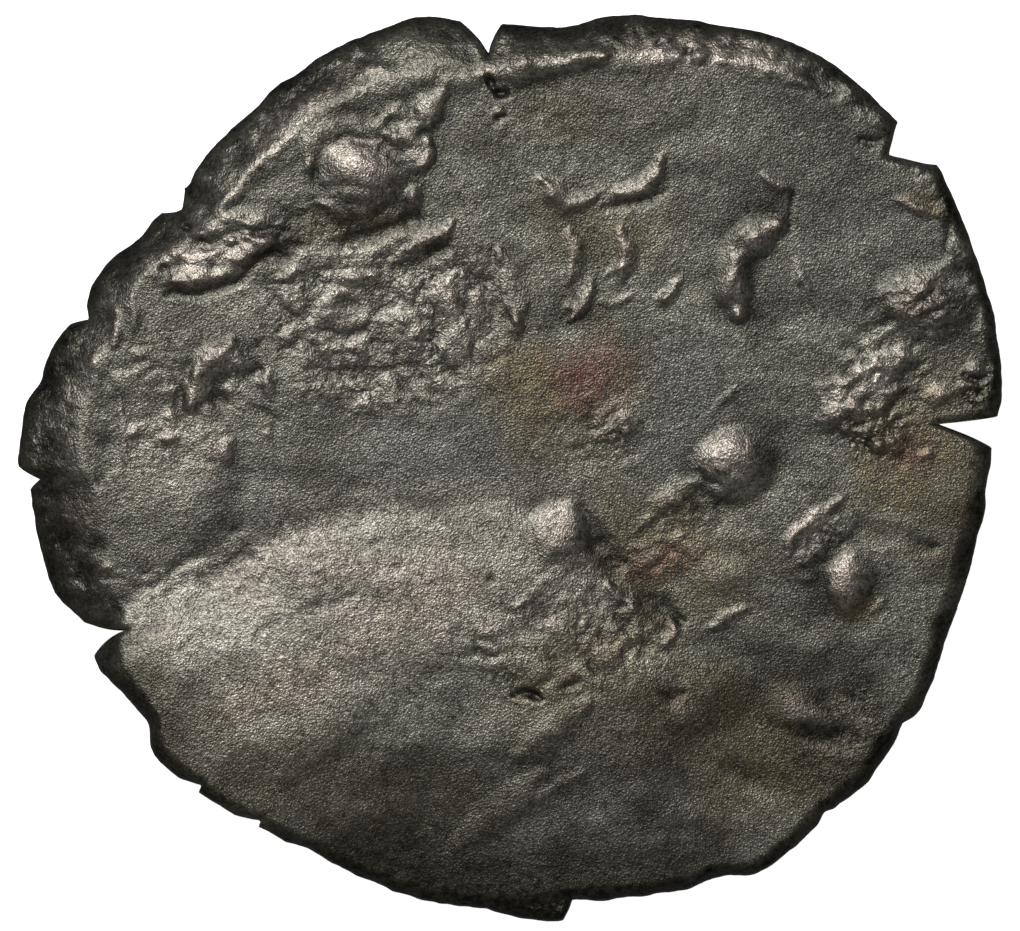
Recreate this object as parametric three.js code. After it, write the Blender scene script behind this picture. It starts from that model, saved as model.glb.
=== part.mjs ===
// A struck potin coin, lying on its worn underside.
// Millimetres. +Z is up out of the struck face, +X is to the right of that face and +Y to its top.
// The origin is under the middle of the coin, on the plane that it lies on.
// Places on the faces are shares of the flan's half width and half height, so they keep to the flan when it
// changes, and every width and height of the relief is a real size.

import * as THREE from 'three';

// Flan: the cast disc before it was struck.
const flanWidth = 16.4;
const flanHeight = 15.15;
const fieldHeight = 1.5;

// Edge: where the faces end, seen from the side.
const bellyHeight = 0.6;
const footHeight = 0.28;
const shoulderInset = 0.07;
const footInset = 0.16;
const lipRadius = 0.2;
const lipFall = 0.1;

// Width inside the edge over which the struck relief dies away.
const reliefFade = 0.5;

// Underside: worn flat in the middle, hollowed round it, and lifted to the edge.
const restRadius = 1.5;
const footWidth = 1.7;
const hollowDepth = 0.07;

// Waviness that hammering left in the field: two crossing waves, each with its direction and phase.
const waveLength = 4.5;
const waveHeight = 0.03;
const waves = [
  { across: [1, 0.4], phase: 0 },
  { across: [-0.5, 0.9], phase: 1 },
];

// Fineness: squares along one side of each face's grid, steps between two places of a path, and samples
// of the edge for each of its corners.
const undersideSquares = 20;
const squaresPerUndersideSquare = 3;
const faceSquares = undersideSquares * squaresPerUndersideSquare;
const pathSteps = 5;
const edgeSamples = 20;

// Bevel inside the edge: how far its foot lies below the field at a bearing in degrees, counted from +X
// towards +Y, its width there, and the power by which it rounds over into the field.
const bevelDrops = [
  [0, 0.06], [8, 0.02], [30, 0.03], [50, 0.12], [66, 0.25], [92, 0.35], [120, 0.38], [160, 0.4],
  [197, 0.46], [212, 0.12], [270, 0.08], [345, 0.1],
];
const bevelWidths = [
  [0, 0.3], [20, 0.4], [50, 0.5], [66, 0.6], [80, 0.65], [92, 0.7], [104, 0.95], [122, 0.95],
  [140, 0.85], [152, 0.65], [165, 0.9], [180, 1.2], [193, 1], [204, 0.5], [214, 0.25], [270, 0.2],
  [345, 0.25],
];
const bevelPower = 1.4;

// Edge of the flan: bearing, and radius as a share of the ellipse of the flan's width and height.
const edgeShares = [
  [4, 0.987], [9, 1.016], [15, 1.031], [28, 1.066], [33, 1.086], [42, 1.097], [54, 1.104],
  [65, 1.065], [78, 1.010], [83.5, 0.978], [89, 0.978], [96, 0.990], [101, 1.012], [107, 1.001],
  [121, 0.967], [127, 0.946], [136, 0.923], [139, 0.905], [148, 0.910], [152, 0.933],
  [156, 0.943], [160, 0.940], [163.5, 0.964], [167, 0.976], [169.5, 0.976], [172.5, 0.996],
  [180, 1.000], [183, 0.979], [195, 0.966], [201, 0.930], [204.5, 0.944], [208, 0.942],
  [212, 0.926], [215.5, 0.929], [218.5, 0.956], [222, 0.958], [243, 0.937], [256, 0.966],
  [262, 0.970], [273, 0.968], [279, 0.963], [292, 0.992], [297.5, 0.999], [300.5, 1.022],
  [304, 1.021], [313, 0.999], [318, 1.002], [326, 0.984], [330, 0.988], [339, 0.962], [345, 0.961],
  [354, 0.966],
];

// Splits: bearing of the tip, its depth in mm, the degrees before and after it that the split takes up,
// how pointed it is, how far its lips swell into it and how far its tip leans. A depth below zero is a tag.
const splits = [
  { bearing: 93, depth: 0.52, before: 1.9, after: 3.4, point: 1.05, swell: 0.03, lean: 0 },
  { bearing: 39.6, depth: 0.48, before: 4.2, after: 2.1, point: 0.8, swell: 0, lean: 0 },
  { bearing: 4.7, depth: 0.93, before: 2.3, after: 1.3, point: 1.15, swell: 0, lean: 0.14 },
  { bearing: 326.9, depth: 0.06, before: 1.6, after: 1.6, point: 1.2, swell: 0, lean: 0 },
  { bearing: 312.3, depth: 0.07, before: 1.6, after: 1.3, point: 1.2, swell: 0, lean: 0 },
  { bearing: 234.5, depth: 0.12, before: 3, after: 0.5, point: 1.2, swell: 0, lean: 0.03 },
  { bearing: 225.6, depth: 0.14, before: 2.5, after: 0.6, point: 1.2, swell: 0, lean: 0.03 },
  { bearing: 202.7, depth: 0.56, before: 2.8, after: 1.6, point: 1.1, swell: 0.05, lean: 0.02 },
  { bearing: 181.4, depth: 0.26, before: 1.6, after: 1.2, point: 1.2, swell: 0, lean: 0 },
  { bearing: 160.6, depth: 0.18, before: 1.6, after: 1.3, point: 1.2, swell: 0, lean: 0 },
  { bearing: 141.8, depth: 0.2, before: 2.4, after: 2, point: 0.7, swell: 0, lean: 0 },
  { bearing: 276.6, depth: -0.3, before: 9.5, after: 1.5, point: 0.75, swell: 0, lean: 0 },
];

// The splits fade in over this outer share of the way from the middle to the edge.
const splitReach = 0.3;

// The animal's back and shoulder: ground that rises inside this line over a width, beginning with a rounded
// crease, and then falls away over a longer run. The rise grows less towards the right, in two steps.
const back = {
  line: [
    [-0.927, -0.409], [-0.829, -0.337], [-0.732, -0.277], [-0.61, -0.242], [-0.549, -0.201],
    [-0.451, -0.135], [-0.366, -0.119], [-0.22, -0.079], [-0.085, -0.075], [0.061, -0.082],
    [0.134, -0.095], [0.183, -0.172], [0.228, -0.244], [0.305, -0.304], [0.39, -0.343],
    [0.512, -0.396], [0.646, -0.488],
  ],
  crease: 0.2,
  rise: 2.4,
  tall: 0.25,
  run: 5,
  fall: 0.48,
  fades: [{ at: -0.549, over: 3.5, share: 0.3 }, { at: 0.232, over: 2.2, share: 0.55 }],
};

// A line is full in its middle and thinner over the first share of its length at each end, where its width
// comes down to the second.
const lineEnds = 0.25;
const endWidth = 0.45;

// Raised lines: a path, half its width, its height, and how much wider its left and right flanks are.
const ridges = [
  // Lapped ridge at the inside of the bevel, upper left.
  {
    path: [[-0.63, 0.535], [-0.539, 0.658], [-0.427, 0.799], [-0.346, 0.836], [-0.163, 0.887]],
    wide: 0.26, tall: 0.09,
  },
  // The same ridge, top and upper right.
  { path: [[-0.041, 0.87], [0.08, 0.91], [0.264, 0.898], [0.329, 0.904]], wide: 0.3, tall: 0.1 },
  { path: [[0.476, 0.891], [0.549, 0.895], [0.62, 0.85], [0.675, 0.803]], wide: 0.26, tall: 0.08 },
  // Lumpy fold under the upper left ridge, steep on its lower side.
  {
    path: [[-0.71, 0.4], [-0.6, 0.447], [-0.484, 0.495], [-0.366, 0.543], [-0.21, 0.575]],
    wide: 0.6, tall: 0.17, flanks: [1.2, 0.6],
  },
  // Frame round the leaf-shaped boss.
  {
    path: [[-0.427, 0.64], [-0.4, 0.72], [-0.366, 0.755], [-0.321, 0.763], [-0.272, 0.755], [-0.22, 0.72]],
    wide: 0.22, tall: 0.09,
  },
  { path: [[-0.25, 0.7], [-0.228, 0.746], [-0.199, 0.785], [-0.165, 0.81]], wide: 0.3, tall: 0.13 },
  // Worn marks where the legend was: short bows and wedges in two rows.
  { path: [[0.077, 0.627], [0.125, 0.607], [0.175, 0.612]], wide: 0.24, tall: 0.13 },
  { path: [[0.24, 0.605], [0.29, 0.612], [0.33, 0.64]], wide: 0.24, tall: 0.13 },
  { path: [[0.118, 0.505], [0.125, 0.46], [0.12, 0.415]], wide: 0.22, tall: 0.09 },
  { path: [[0.214, 0.505], [0.224, 0.46], [0.221, 0.415]], wide: 0.22, tall: 0.09 },
  { path: [[0.166, 0.39], [0.15, 0.345], [0.106, 0.328]], wide: 0.22, tall: 0.11 },
  { path: [[0.337, 0.46], [0.345, 0.42], [0.325, 0.38]], wide: 0.25, tall: 0.06 },
  {
    path: [[0.561, 0.539], [0.508, 0.521], [0.47, 0.477], [0.459, 0.416], [0.467, 0.361], [0.484, 0.323]],
    wide: 0.34, tall: 0.19,
  },
  { path: [[0.793, 0.601], [0.833, 0.574], [0.882, 0.548]], wide: 0.22, tall: 0.09 },
  { path: [[-0.016, 0.469], [-0.004, 0.416], [0.012, 0.359]], wide: 0.24, tall: 0.1 },
  // Tail of the large pellet and the short ridge above it.
  { path: [[0.386, -0.046], [0.337, -0.081], [0.285, -0.123], [0.248, -0.147]], wide: 0.3, tall: 0.12 },
  { path: [[0.402, 0.112], [0.431, 0.152], [0.467, 0.2]], wide: 0.22, tall: 0.07 },
  // Crusted ridge at the right, and the lapped ridge above it.
  { path: [[0.659, 0.112], [0.691, 0.169], [0.752, 0.227], [0.809, 0.266]], wide: 0.36, tall: 0.16 },
  { path: [[0.919, 0.473], [0.87, 0.438], [0.801, 0.389]], wide: 0.22, tall: 0.09 },
  // Bow of a mark at the left.
  { path: [[-0.687, 0.213], [-0.667, 0.257], [-0.622, 0.279], [-0.555, 0.24]], wide: 0.28, tall: 0.08 },
];

// Sunk lines, in the same terms.
const grooves = [
  { path: [[0.646, -0.213], [0.691, -0.174], [0.762, -0.158], [0.894, -0.205]], wide: 0.26, tall: -0.08 },
  { path: [[-0.809, 0.218], [-0.813, 0.108], [-0.801, -0.002]], wide: 0.4, tall: -0.08 },
  { path: [[-0.701, 0.042], [-0.63, 0.009], [-0.573, -0.035], [-0.557, -0.134]], wide: 0.4, tall: -0.06 },
  { path: [[0.896, 0.614], [0.9, 0.537], [0.896, 0.451]], wide: 0.2, tall: -0.1 },
];

// Mounds and hollows: place, half sizes in mm, turn in degrees, height, and how much of the top is flat.
const mounds = [
  { at: [-0.317, 0.667], size: [0.62, 0.36], turn: 3, tall: 0.27, flat: 0.25 },
  { at: [-0.187, 0.69], size: [0.32, 0.36], turn: 0, tall: 0.11, flat: 0 },
  { at: [-0.346, 0.576], size: [0.5, 0.3], turn: 10, tall: 0.1, flat: 0 },
  { at: [-0.199, 0.596], size: [0.3, 0.3], turn: 20, tall: 0.1, flat: 0 },
  { at: [-0.6, 0.475], size: [0.7, 0.3], turn: 15, tall: 0.1, flat: 0 },
  { at: [0.051, 0.895], size: [0.9, 0.35], turn: 8, tall: 0.07, flat: 0 },
  { at: [0.32, 0.68], size: [0.24, 0.3], turn: 0, tall: 0.1, flat: 0.2 },
  // The two pellets.
  { at: [0.459, 0.02], size: [0.66, 0.66], turn: 0, tall: 0.34, flat: 0 },
  { at: [0.691, -0.262], size: [0.42, 0.56], turn: 5, tall: 0.32, flat: 0 },
  // Broken lump beside the small pellet, and crust at the right.
  { at: [0.634, -0.156], size: [0.55, 0.62], turn: -35, tall: 0.14, flat: 0.4 },
  { at: [0.463, -0.233], size: [0.4, 0.3], turn: 0, tall: 0.08, flat: 0 },
  { at: [0.841, 0.345], size: [0.62, 0.52], turn: -25, tall: 0.14, flat: 0.3 },
  { at: [0.75, 0.055], size: [0.5, 0.26], turn: 0, tall: 0.11, flat: 0 },
  // Soft swells and hollows low on the flan.
  { at: [0.427, -0.497], size: [0.8, 0.4], turn: 20, tall: 0.07, flat: 0 },
  { at: [0.593, -0.53], size: [0.6, 0.35], turn: 0, tall: 0.09, flat: 0 },
  { at: [0.661, -0.574], size: [0.6, 0.3], turn: 0, tall: -0.06, flat: 0 },
  { at: [0.472, -0.667], size: [0.8, 0.4], turn: -35, tall: -0.06, flat: 0 },
  { at: [0.264, -0.2], size: [0.7, 0.8], turn: 0, tall: -0.05, flat: 0 },
];

// Hollows of the worn underside: place as seen from above, half sizes, turn, and share of the hollow depth.
const undersideHollows = [
  { at: [-0.42, 0.3], size: [2.3, 1.3], turn: 40, share: 1 },
  { at: [0.4, 0.4], size: [2.1, 1.2], turn: -35, share: 0.8 },
  { at: [0.45, -0.38], size: [2.2, 1.2], turn: 45, share: 1 },
  { at: [-0.38, -0.42], size: [2.2, 1.1], turn: -40, share: 0.7 },
];

const potin = new THREE.MeshStandardMaterial({ color: '#4d4a42', roughness: 0.5, metalness: 0.75 });

const radians = THREE.MathUtils.degToRad;

function smooth(t) {
  const s = THREE.MathUtils.clamp(t, 0, 1);
  return s * s * (3 - 2 * s);
}

// Rounded hill of height 1 and radius 1, whose foot runs out flat.
function hill(r) {
  return r < 1 ? (1 - r * r) ** 2 : 0;
}

// Value at a bearing on the closed smooth curve through knots of bearing and value: a cubic between two
// knots, with each knot's slope taken from its neighbours.
function aroundKnots(knots, bearing) {
  const count = knots.length;
  const at = (i) => {
    const turns = Math.floor(i / count);
    const knot = knots[i - turns * count];
    return [knot[0] + 360 * turns, knot[1]];
  };
  const slope = (i) => (at(i + 1)[1] - at(i - 1)[1]) / (at(i + 1)[0] - at(i - 1)[0]);
  let b = bearing;
  while (b < knots[0][0]) b += 360;
  while (b >= knots[0][0] + 360) b -= 360;
  let i = 0;
  while (at(i + 1)[0] <= b) i += 1;
  const [b0, v0] = at(i);
  const [b1, v1] = at(i + 1);
  const h = b1 - b0;
  const t = (b - b0) / h;
  return (1 + 2 * t) * (1 - t) ** 2 * v0 + t * (1 - t) ** 2 * h * slope(i)
    + t * t * (3 - 2 * t) * v1 + t * t * (t - 1) * h * slope(i + 1);
}

// Radius of the flan at a bearing, before it split.
function flanRadius(bearing) {
  const a = radians(bearing);
  const ellipse = 1 / Math.hypot(Math.cos(a) / (flanWidth / 2), Math.sin(a) / (flanHeight / 2));
  return ellipse * aroundKnots(edgeShares, bearing);
}

// How far the splits move the edge, outwards and along it.
function splitShift(bearing) {
  let out = 0;
  let along = 0;
  for (const split of splits) {
    const past = ((bearing - split.bearing + 540) % 360) - 180;
    const side = past < 0 ? -1 : 1;
    const reach = past < 0 ? -past / split.before : past / split.after;
    if (reach < 1) {
      const p = (1 - reach) ** split.point;
      out -= split.depth * p;
      along += split.lean * p - side * split.swell * 4 * p * (1 - p);
    }
  }
  return { out, along };
}

// Point at a bearing, at a share of the way from the middle to the edge.
function flanPoint(bearing, share) {
  const a = radians(bearing);
  const fade = smooth((share - 1 + splitReach) / splitReach);
  const shift = splitShift(bearing);
  const r = share * flanRadius(bearing) + fade * shift.out;
  const s = fade * shift.along;
  return new THREE.Vector2(r * Math.cos(a) - s * Math.sin(a), r * Math.sin(a) + s * Math.cos(a));
}

// Bearings at equal steps along the finished edge.
function edgeBearings(count) {
  const samples = count * edgeSamples;
  const run = [0];
  let before = flanPoint(0, 1);
  for (let i = 1; i <= samples; i += 1) {
    const here = flanPoint((360 * i) / samples, 1);
    run.push(run[i - 1] + here.distanceTo(before));
    before = here;
  }
  const bearings = [];
  let i = 0;
  for (let k = 0; k < count; k += 1) {
    const goal = (run[samples] * k) / count;
    while (run[i + 1] < goal) i += 1;
    bearings.push((360 * (i + (goal - run[i]) / (run[i + 1] - run[i]))) / samples);
  }
  return bearings;
}

const rimCount = 4 * faceSquares;
const rimBearings = edgeBearings(rimCount);
const rimPoints = rimBearings.map((bearing) => flanPoint(bearing, 1));
const rimBox = new THREE.Box2().setFromPoints(rimPoints);
const middle = rimBox.getCenter(new THREE.Vector2());

function place([shareX, shareY]) {
  return new THREE.Vector2((shareX * flanWidth) / 2, (shareY * flanHeight) / 2);
}

// Distance from a point to a path, the side of the path it is on and the share of the path's length there.
function nearest(point, path) {
  const best = { distance: Infinity, side: 1, share: 0 };
  path.slice(1).forEach((end, i) => {
    const start = path[i];
    const run = end.clone().sub(start);
    const from = point.clone().sub(start);
    const t = THREE.MathUtils.clamp(from.dot(run) / run.lengthSq(), 0, 1);
    const off = from.clone().addScaledVector(run, -t);
    if (off.length() < best.distance) {
      best.distance = off.length();
      best.side = Math.sign(run.cross(off)) || 1;
      best.share = (i + t) / (path.length - 1);
    }
  });
  return best;
}

function smoothPath(shares) {
  return new THREE.SplineCurve(shares.map(place)).getPoints((shares.length - 1) * pathSteps);
}

function lineHeight(point, line) {
  const { distance, side, share } = nearest(point, line.path);
  const end = smooth(Math.min(share, 1 - share) / lineEnds);
  const [left, right] = line.flanks ?? [1, 1];
  const halfWidth = line.wide * (side > 0 ? left : right) * (endWidth + (1 - endWidth) * end);
  return line.tall * hill(distance / halfWidth);
}

function moundShape(point, mound) {
  const off = point.clone().sub(place(mound.at)).rotateAround(new THREE.Vector2(), radians(-mound.turn));
  const r = Math.hypot(off.x / mound.size[0], off.y / mound.size[1]);
  const flat = mound.flat ?? 0;
  return hill(Math.max(r - flat, 0) / (1 - flat));
}

const backLine = smoothPath(back.line);

function backHeight(point) {
  const { distance, side } = nearest(point, backLine);
  const inside = -side * distance;
  const creased = Math.max(inside + back.crease, 0) ** 2 / (4 * back.crease);
  const start = inside < back.crease ? creased : inside;
  const up = 1 - (1 - Math.min(start / back.rise, 1)) ** 2;
  const down = THREE.MathUtils.clamp((inside - back.rise) / back.run, 0, 1) ** 2;
  let full = 1;
  for (const fade of back.fades) {
    full -= fade.share * smooth((point.x - place([fade.at, 0]).x) / fade.over);
  }
  return back.tall * up * full - back.fall * down;
}

const lines = [...ridges, ...grooves].map((line) => ({ ...line, path: smoothPath(line.path) }));

function waviness(point) {
  const k = (2 * Math.PI) / waveLength;
  let sum = 0;
  for (const { across, phase } of waves) {
    sum += Math.sin(k * (across[0] * point.x + across[1] * point.y) + phase);
  }
  return (waveHeight * sum) / waves.length;
}

function edgeDistance(point) {
  return nearest(point, [...rimPoints, rimPoints[0]]).distance;
}

// Distance inside the unsplit edge.
function flanDistance(point) {
  const bearing = THREE.MathUtils.radToDeg(Math.atan2(point.y, point.x));
  return flanRadius(bearing) - point.length();
}

function faceHeight(point) {
  const bearing = THREE.MathUtils.radToDeg(Math.atan2(point.y, point.x));
  const inside = edgeDistance(point);
  const t = THREE.MathUtils.clamp(flanDistance(point) / aroundKnots(bevelWidths, bearing), 0, 1);
  const bevel = fieldHeight - aroundKnots(bevelDrops, bearing) * (1 - t) ** bevelPower;
  const lip = lipFall * (1 - Math.min(inside / lipRadius, 1)) ** 2;
  let struck = waviness(point);
  for (const line of lines) struck += lineHeight(point, line);
  for (const mound of mounds) struck += mound.tall * moundShape(point, mound);
  return bevel - lip + backHeight(point) + struck * smooth(inside / reliefFade);
}

function undersideHeight(point) {
  const lift = footHeight * (1 - smooth(flanDistance(point) / footWidth));
  const away = smooth((point.length() - restRadius) / restRadius);
  let hollow = 0;
  for (const mound of undersideHollows) hollow += mound.share * moundShape(point, mound);
  return lift + hollowDepth * hollow * away;
}

// Grid place to a place on the flan: the square's rings become rings of the flan, and the steps round a
// ring are equal steps along the edge.
function gridPoint(column, row, squares) {
  const a = (2 * column) / squares - 1;
  const b = (2 * row) / squares - 1;
  const share = Math.max(Math.abs(a), Math.abs(b));
  if (share === 0) return new THREE.Vector2();
  let round;
  if (Math.abs(a) >= Math.abs(b)) {
    round = (a > 0 ? 0 : 4) + b / a;
  } else {
    round = (b > 0 ? 2 : 6) - a / b;
  }
  const step = (((round / 8) * rimCount) + rimCount) % rimCount;
  const low = Math.floor(step);
  const next = low + 1 < rimCount ? rimBearings[low + 1] : 360;
  const bearing = THREE.MathUtils.lerp(rimBearings[low], next, step - low);
  return flanPoint(bearing, share);
}

// Order of the grid's outer corners along the edge, starting at the middle of the right side.
function outerRing(squares) {
  const ring = [];
  for (let k = 0; k < 4 * squares; k += 1) {
    const step = (k + squares / 2) % (4 * squares);
    const side = Math.floor(step / squares);
    const t = step % squares;
    if (side === 0) ring.push([squares, t]);
    if (side === 1) ring.push([squares - t, squares]);
    if (side === 2) ring.push([0, squares - t]);
    if (side === 3) ring.push([t, 0]);
  }
  return ring;
}

function coinGeometry() {
  const points = [];
  const triangles = [];

  // Adds a corner and gives its number.
  const add = (point, z) => points.push(point.x - middle.x, point.y - middle.y, z) / 3 - 1;

  // One face: its corners, and two triangles for each square, split towards the square's outer corner.
  const addFace = (squares, inset, height, upwards) => {
    const index = [];
    for (let row = 0; row <= squares; row += 1) {
      index.push([]);
      for (let column = 0; column <= squares; column += 1) {
        const point = gridPoint(column, row, squares);
        const z = height(point);
        point.multiplyScalar(1 - inset / (flanWidth / 2));
        index[row].push(add(point, z));
      }
    }
    for (let row = 0; row < squares; row += 1) {
      for (let column = 0; column < squares; column += 1) {
        const ring = [
          index[row][column], index[row][column + 1],
          index[row + 1][column + 1], index[row + 1][column],
        ];
        const outward = (row + 0.5 - squares / 2) * (column + 0.5 - squares / 2) > 0 ? 0 : 1;
        for (const turn of [0, 2]) {
          const corners = [0, 1, 2].map((k) => ring[(k + outward + turn) % 4]);
          triangles.push(...(upwards ? corners : corners.reverse()));
        }
      }
    }
    return outerRing(squares).map(([column, row]) => index[row][column]);
  };

  const shoulder = addFace(faceSquares, shoulderInset, faceHeight, true);
  const foot = addFace(undersideSquares, footInset, undersideHeight, false);
  const belly = rimPoints.map((point) => add(point, bellyHeight));

  for (let k = 0; k < rimCount; k += 1) {
    const next = (k + 1) % rimCount;
    triangles.push(belly[k], belly[next], shoulder[next]);
    triangles.push(belly[k], shoulder[next], shoulder[k]);
  }
  const half = Math.ceil(squaresPerUndersideSquare / 2);
  foot.forEach((corner, k) => {
    const nextCorner = foot[(k + 1) % foot.length];
    const first = k * squaresPerUndersideSquare;
    for (let s = 0; s < squaresPerUndersideSquare; s += 1) {
      const anchor = s < half ? corner : nextCorner;
      triangles.push(anchor, belly[(first + s + 1) % rimCount], belly[first + s]);
    }
    triangles.push(corner, nextCorner, belly[first + half]);
  });

  const geometry = new THREE.BufferGeometry();
  geometry.setAttribute('position', new THREE.Float32BufferAttribute(points, 3));
  geometry.setIndex(triangles);
  geometry.computeVertexNormals();
  return geometry;
}

const coin = new THREE.Mesh(coinGeometry(), potin);
coin.name = 'coin';

const part = new THREE.Group();
part.add(coin);

export default part;
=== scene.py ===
# A struck potin coin lying on a pale floor, seen from straight above.
# The coin's mesh is worked out here inside the box of the solid it stands for; 1 Blender unit is 1 m.
import math

import bpy
import numpy as np
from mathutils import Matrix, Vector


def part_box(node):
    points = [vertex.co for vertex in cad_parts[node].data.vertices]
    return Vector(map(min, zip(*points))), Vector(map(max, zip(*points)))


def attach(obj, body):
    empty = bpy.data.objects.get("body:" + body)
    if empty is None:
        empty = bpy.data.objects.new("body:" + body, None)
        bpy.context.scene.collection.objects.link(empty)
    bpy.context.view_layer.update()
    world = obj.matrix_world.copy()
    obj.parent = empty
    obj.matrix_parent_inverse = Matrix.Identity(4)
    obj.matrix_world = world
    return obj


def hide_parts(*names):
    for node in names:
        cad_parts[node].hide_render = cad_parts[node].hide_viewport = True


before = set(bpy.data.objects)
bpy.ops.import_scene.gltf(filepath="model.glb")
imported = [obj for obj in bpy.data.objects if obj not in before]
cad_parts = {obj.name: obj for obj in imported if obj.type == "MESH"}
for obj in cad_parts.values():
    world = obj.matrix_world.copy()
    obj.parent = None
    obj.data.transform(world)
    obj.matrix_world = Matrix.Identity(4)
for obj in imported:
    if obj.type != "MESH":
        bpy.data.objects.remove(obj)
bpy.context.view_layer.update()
mm = 0.001


def toLinear(hexColour):
    # sRGB hex to linear: c / 12.92 below 0.04045, else ((c + 0.055) / 1.055) ^ 2.4.
    channels = [int(hexColour[i:i + 2], 16) / 255 for i in (1, 3, 5)]
    return [c / 12.92 if c <= 0.04045 else ((c + 0.055) / 1.055) ** 2.4 for c in channels] + [1.0]


print("camera")
view = {
    "frameWidth": 17.0 * mm,     # width that the picture shows, at a height between the edge and the field
    "lookAt": (0.007 * mm, 0.038 * mm),
    "lens": 400.0,
    "sensor": 36.0,
    "focusHeight": 1.1 * mm,
}


def makeCamera():
    data = bpy.data.cameras.new("camera")
    data.lens = view["lens"]
    data.sensor_width = view["sensor"]
    distance = view["frameWidth"] * view["lens"] / view["sensor"]
    data.clip_start = distance / 50
    data.clip_end = distance * 50
    camera = bpy.data.objects.new("camera", data)
    camera.location = (*view["lookAt"], view["focusHeight"] + distance)
    bpy.context.scene.collection.objects.link(camera)
    bpy.context.scene.camera = camera


makeCamera()

print("edge of the flan")
# Lengths are in mm and bearings in degrees, from +X towards +Y.
flan = {
    "width": 16.4,           # the ellipse that the edge's shares are taken of
    "height": 15.15,
    "field": 1.5,
    "shoulders": [           # bearing, height at which the struck face meets the edge
        (0, 1.44), (8, 1.48), (30, 1.47), (50, 1.38), (66, 1.25), (92, 1.13), (104, 1.04), (120, 1.01),
        (150, 1.03), (165, 1.08), (197, 1.04), (212, 1.38), (270, 1.42), (345, 1.4)],
    "foot": 0.28,            # where the underside meets the edge
    "shoulderInset": 0.07,
    "footInset": 0.16,
    "lipRadius": 0.12,
    "lipFall": 0.07,
    "reliefFade": 0.5,       # width over which the relief dies away at the edge
    "footWidth": 1.7,        # width over which the underside lifts to the foot
    "edgeRound": 0.8,        # roundness of the side; a lower value is blunter
    "jag": 0.05,             # unevenness of the edge
    "jagSize": 0.45,
    "jagCircle": 8,          # radius of the circle on which the unevenness is read
    "splitReach": 0.3,       # share of the radius over which a split fades in
    "edgeShares": [          # bearing, radius as a share of the ellipse
        (4, .987), (9, 1.016), (15, 1.031), (28, 1.066), (33, 1.086), (42, 1.097), (54, 1.104),
        (65, 1.065), (78, 1.010), (83.5, .978), (89, .978), (96, .990), (101, 1.012), (107, 1.001),
        (121, .967), (127, .946), (136, .923), (139, .905), (148, .910), (152, .933),
        (156, .943), (160, .940), (163.5, .964), (167, .976), (169.5, .976), (172.5, .996),
        (180, 1.000), (183, .979), (195, .966), (201, .930), (204.5, .944), (208, .942),
        (212, .926), (215.5, .929), (218.5, .956), (222, .958), (243, .937), (256, .966),
        (262, .970), (273, .968), (279, .963), (292, .992), (297.5, .999), (300.5, 1.022),
        (304, 1.021), (313, .999), (318, 1.002), (326, .984), (330, .988), (339, .962), (345, .961),
        (354, .966)],
    "bevelWidths": [         # bearing, width of the bevel inside the edge
        (0, .3), (20, .4), (50, .5), (66, .6), (80, .65), (92, .7), (104, .8), (122, .78), (140, .7),
        (152, .6), (165, .85), (180, 1.1), (193, 1.0), (204, .5), (214, .2), (270, .16), (320, .18),
        (345, .25)],
    "bevelPower": 1.4,       # how the bevel rounds over into the field
    # bearing, depth, degrees before and after the tip, point, swell of the lips, lean of the tip
    "splits": [
        (93, .52, 1.9, 3.4, 1.05, .03, 0), (39.6, .48, 4.2, 2.1, .8, 0, 0),
        (4.7, .93, 2.3, 1.3, 1.15, 0, .14), (326.9, .06, 1.6, 1.6, 1.2, 0, 0),
        (312.3, .07, 1.6, 1.3, 1.2, 0, 0), (234.5, .12, 3, .5, 1.2, 0, .03),
        (225.6, .14, 2.5, .6, 1.2, 0, .03), (202.7, .56, 2.8, 1.6, 1.1, .05, .02),
        (181.4, .26, 1.6, 1.2, 1.2, 0, 0), (160.6, .18, 1.6, 1.3, 1.2, 0, 0),
        (141.8, .2, 2.4, 2, .7, 0, 0), (276.6, -.3, 9.5, 1.5, .75, 0, 0)],
}
seeds = {                    # where each pattern's random values start
    "warpX": 5, "warpY": 8, "ground": 11, "uneven": 15, "jag": 31, "lumps": 40, "patches": 60,
    "pits": 61, "bevel": 71, "stains": 90, "band": 93,
}
latticeCells = 256           # cells before a lattice repeats
latticeShift = (97.3, 71.7)  # keeps the corners of its cells off the coin's middle


def smooth(t):
    # 3 t^2 - 2 t^3 between 0 and 1.
    t = np.clip(t, 0, 1)
    return t * t * (3 - 2 * t)


def hill(r):
    # (1 - r^2)^2 inside radius 1, and 0 outside.
    return np.clip(1 - r * r, 0, None) ** 2


def lattice(x, y, cell, seed):
    # Random values at the corners of square cells, blended by smooth() between them.
    n = latticeCells
    values = np.random.default_rng(seed).random((n, n)) * 2 - 1
    u, v = x / cell + latticeShift[0], y / cell + latticeShift[1]
    i, j = np.floor(u).astype(int), np.floor(v).astype(int)
    fu, fv = smooth(u - i), smooth(v - j)
    i, j, i1, j1 = i % n, j % n, (i + 1) % n, (j + 1) % n
    return ((values[i, j] * (1 - fu) + values[i1, j] * fu) * (1 - fv)
            + (values[i, j1] * (1 - fu) + values[i1, j1] * fu) * fv)


def crumbs(x, y, cell, seed):
    # Sum of four lattices, each half the size and height of the one before, over their heights' sum.
    return sum(lattice(x, y, cell / 2 ** k, seed + k) / 2 ** k for k in range(4)) / 1.875


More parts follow.
